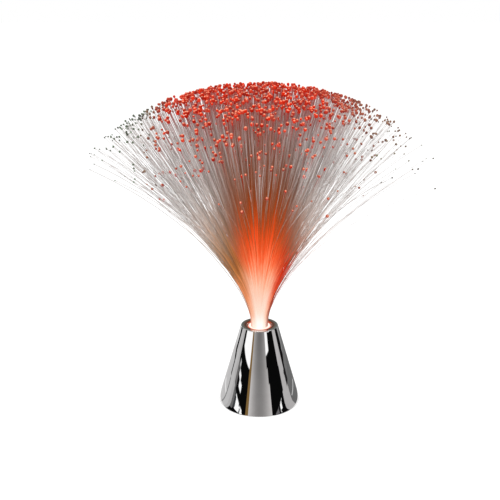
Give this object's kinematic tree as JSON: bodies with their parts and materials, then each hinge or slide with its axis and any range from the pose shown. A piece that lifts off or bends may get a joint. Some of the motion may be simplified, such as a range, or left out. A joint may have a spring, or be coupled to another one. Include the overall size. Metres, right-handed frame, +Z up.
{
  "type": "fibre optic table lamp",
  "caption": "Battery table lamp: a polished hollow cone whose plug-in head of optical fibres fans out into a dome of lit tips.",
  "frame": {"origin": "on the lamp's axis, on the surface that its feet stand on", "axes": "+Z up along the lamp's axis; the cells lie along Y, the battery door's hooks are towards -Y and the switch is towards +X"},
  "size_m": [0.3265, 0.3277, 0.3343],
  "materials": {
    "chromed_plastic": "mirror-bright vacuum-metallised chrome over moulded ABS",
    "black_plastic": "fine spark-eroded grain",
    "rubber": "matte",
    "steel": "bright nickel plate",
    "battery_cell": null,
    "phenolic": "brown phenolic sheet",
    "white_plastic": "semi-gloss",
    "board": "solder mask",
    "red_led": "clear tinted epoxy",
    "green_led": "clear tinted epoxy",
    "blue_led": "clear tinted epoxy",
    "resistor": "lacquered ceramic",
    "red_lead": "PVC insulation",
    "black_lead": "PVC insulation",
    "translucent_collar": "frosted clear plastic, lit from inside",
    "black_sleeve": "shrink sleeve",
    "potted_fibre": "potted and polished fibre bundle",
    "optical_fibre": "clear acrylic fibre, lit red at the tips"
  },
  "bodies": {
    "base": {"base_shell": "chromed_plastic", "bottom_plate": "black_plastic", "foot_1": "rubber", "foot_2": "rubber", "foot_3": "rubber", "foot_4": "rubber", "base_screw_1": "steel", "base_screw_2": "steel", "base_screw_3": "steel", "holder_screw_1": "steel", "holder_screw_2": "steel", "board_screw_1": "steel", "board_screw_2": "steel", "switch_screw_1": "steel", "switch_screw_2": "steel", "contact_positive": "steel", "contact_link_rear": "steel", "contact_link_front": "steel", "contact_negative": "steel", "switch_frame": "steel", "battery_cell_1": "battery_cell", "battery_cell_2": "battery_cell", "battery_cell_3": "battery_cell", "switch_back": "phenolic", "led_holder": "white_plastic", "led_board": "board", "led_red": "red_led", "led_green": "green_led", "led_blue": "blue_led", "resistor": "resistor", "wire_positive": "red_lead", "wire_switched": "red_lead", "wire_negative": "black_lead"},
    "door": {"battery_door": "black_plastic"},
    "knob": {"switch_knob": "black_plastic"},
    "head": {"fibre_collar": "translucent_collar", "bundle_sleeve": "black_sleeve", "bundle_core": "potted_fibre", "fibre_spray": "optical_fibre"}
  },
  "joints": [
    {"name": "battery_door_hinge", "type": "hinge", "parent": "base", "child": "door", "pos_m": [0, -0.02545, 0.0016], "axis": [-1, 0, 0], "range_deg": [0, 75]},
    {"name": "switch_slide", "type": "slide", "parent": "base", "child": "knob", "axis": [0, -1, 0], "range_m": [0, 0.0035]},
    {"name": "head_pull", "type": "slide", "parent": "base", "child": "head", "axis": [0, 0, 1], "range_m": [0, 0.024]}
  ]
}
